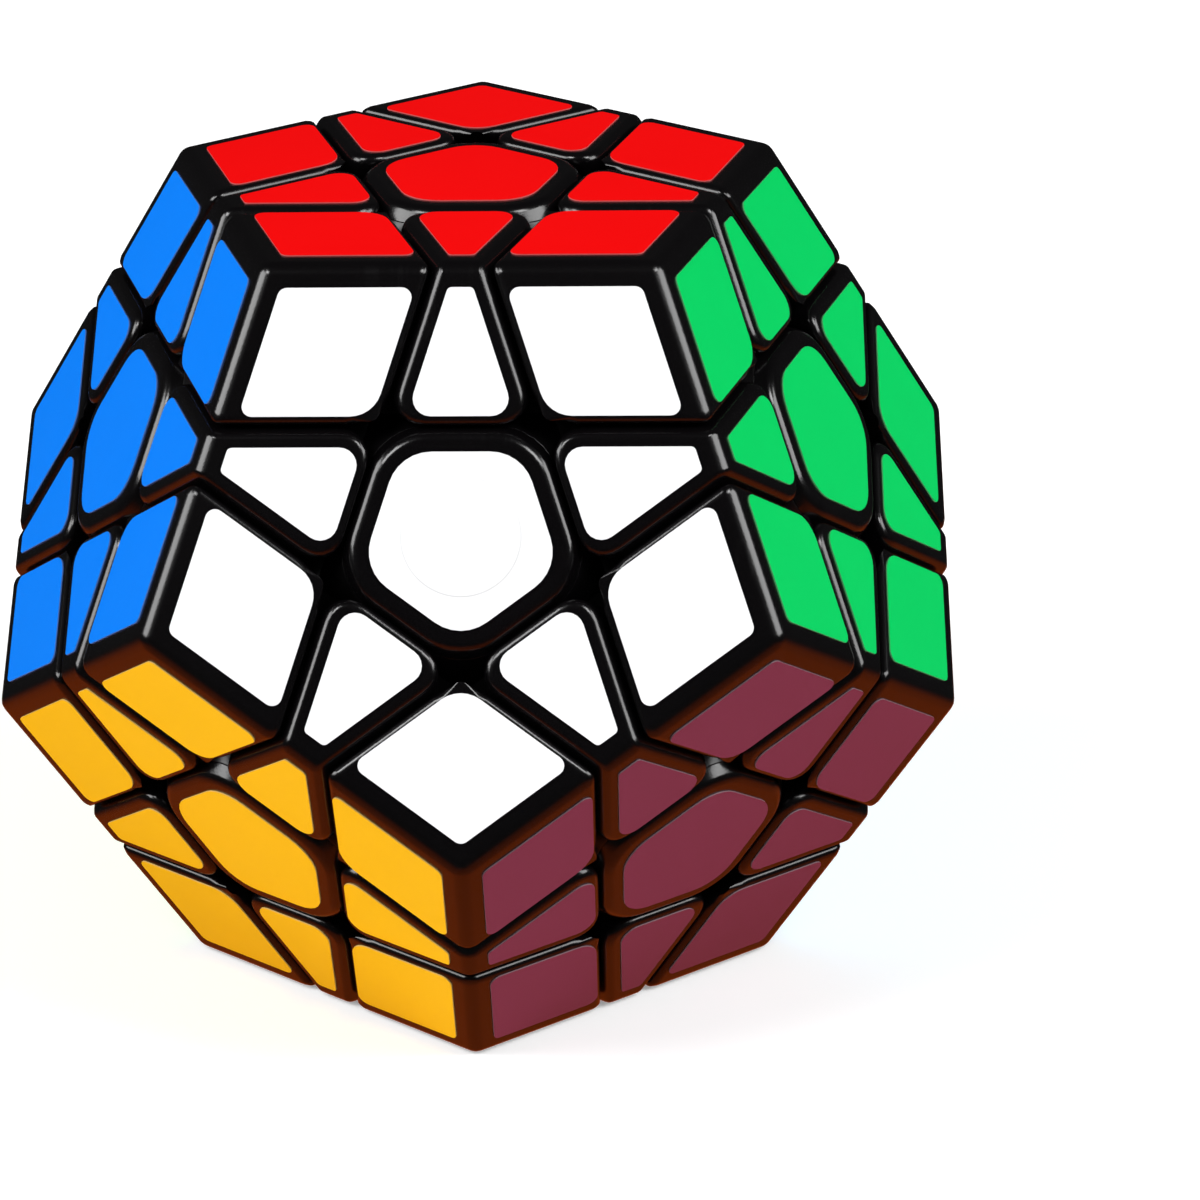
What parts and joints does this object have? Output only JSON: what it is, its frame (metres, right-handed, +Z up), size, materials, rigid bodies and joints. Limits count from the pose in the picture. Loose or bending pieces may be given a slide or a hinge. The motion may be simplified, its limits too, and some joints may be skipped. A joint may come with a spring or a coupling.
{
  "type": "dodecahedron twisty puzzle",
  "caption": "Dodecahedral layer-turning puzzle in black plastic with flat coloured stickers, a screwed and sprung core inside and face layers that turn.",
  "frame": {"origin": "centre of the bottom face, on the surface that the puzzle stands on", "axes": "+Z up along the axis of the red face; -Y is the front, towards which the white face looks, tilted up by 26.6 degrees"},
  "size_m": [0.094, 0.0988, 0.08],
  "materials": {
    "shell_plastic": "satin",
    "cap_plastic": "satin",
    "centre_plastic": "satin",
    "foot_plastic": "satin",
    "core_plastic": "satin",
    "screw_steel": "polished",
    "spring_steel": "satin",
    "washer_steel": "satin"
  },
  "bodies": {
    "core_and_fixed_pieces": {"core": "core_plastic", "tension_screws": "screw_steel", "springs": "spring_steel", "washers": "washer_steel", "centre_red": "centre_plastic", "centre_green": "centre_plastic", "centre_cream": "centre_plastic", "centre_pink": "centre_plastic", "centre_blue": "centre_plastic", "centre_purple": "centre_plastic", "centre_grey": "centre_plastic", "centre_yellow": "centre_plastic", "centre_orange": "centre_plastic", "fixed_caps": "cap_plastic", "fixed_edges": "shell_plastic", "fixed_corners": "shell_plastic", "fixed_edge_feet": "foot_plastic", "fixed_corner_feet": "foot_plastic"},
    "white_layer": {"centre_white": "centre_plastic", "cap_white": "cap_plastic", "edge_white_red": "shell_plastic", "edge_white_green": "shell_plastic", "edge_white_purple": "shell_plastic", "edge_white_yellow": "shell_plastic", "edge_white_blue": "shell_plastic", "corner_white_red_green": "shell_plastic", "corner_white_green_purple": "shell_plastic", "corner_white_purple_yellow": "shell_plastic", "corner_white_yellow_blue": "shell_plastic", "corner_white_blue_red": "shell_plastic", "white_edge_feet": "foot_plastic", "white_corner_feet": "foot_plastic"},
    "sky_layer": {"centre_sky": "centre_plastic", "cap_sky": "cap_plastic", "edge_sky_green": "shell_plastic", "edge_sky_cream": "shell_plastic", "edge_sky_grey": "shell_plastic", "edge_sky_orange": "shell_plastic", "edge_sky_purple": "shell_plastic", "corner_sky_green_cream": "shell_plastic", "corner_sky_cream_grey": "shell_plastic", "corner_sky_grey_orange": "shell_plastic", "corner_sky_orange_purple": "shell_plastic", "corner_sky_purple_green": "shell_plastic", "sky_edge_feet": "foot_plastic", "sky_corner_feet": "foot_plastic"},
    "lime_layer": {"centre_lime": "centre_plastic", "cap_lime": "cap_plastic", "edge_lime_blue": "shell_plastic", "edge_lime_pink": "shell_plastic", "edge_lime_grey": "shell_plastic", "edge_lime_orange": "shell_plastic", "edge_lime_yellow": "shell_plastic", "corner_lime_blue_pink": "shell_plastic", "corner_lime_pink_grey": "shell_plastic", "corner_lime_grey_orange": "shell_plastic", "corner_lime_orange_yellow": "shell_plastic", "corner_lime_yellow_blue": "shell_plastic", "lime_edge_feet": "foot_plastic", "lime_corner_feet": "foot_plastic"}
  },
  "joints": [
    {"name": "white_turn", "type": "hinge", "parent": "core_and_fixed_pieces", "child": "white_layer", "pos_m": [0, 0, 0.04], "axis": [0, -0.8944, 0.4472], "continuous": true},
    {"name": "sky_turn", "type": "hinge", "parent": "core_and_fixed_pieces", "child": "sky_layer", "pos_m": [0, 0, 0.04], "axis": [0.8507, 0.2764, -0.4472], "continuous": true},
    {"name": "lime_turn", "type": "hinge", "parent": "core_and_fixed_pieces", "child": "lime_layer", "pos_m": [0, 0, 0.04], "axis": [-0.8507, 0.2764, -0.4472], "continuous": true}
  ]
}
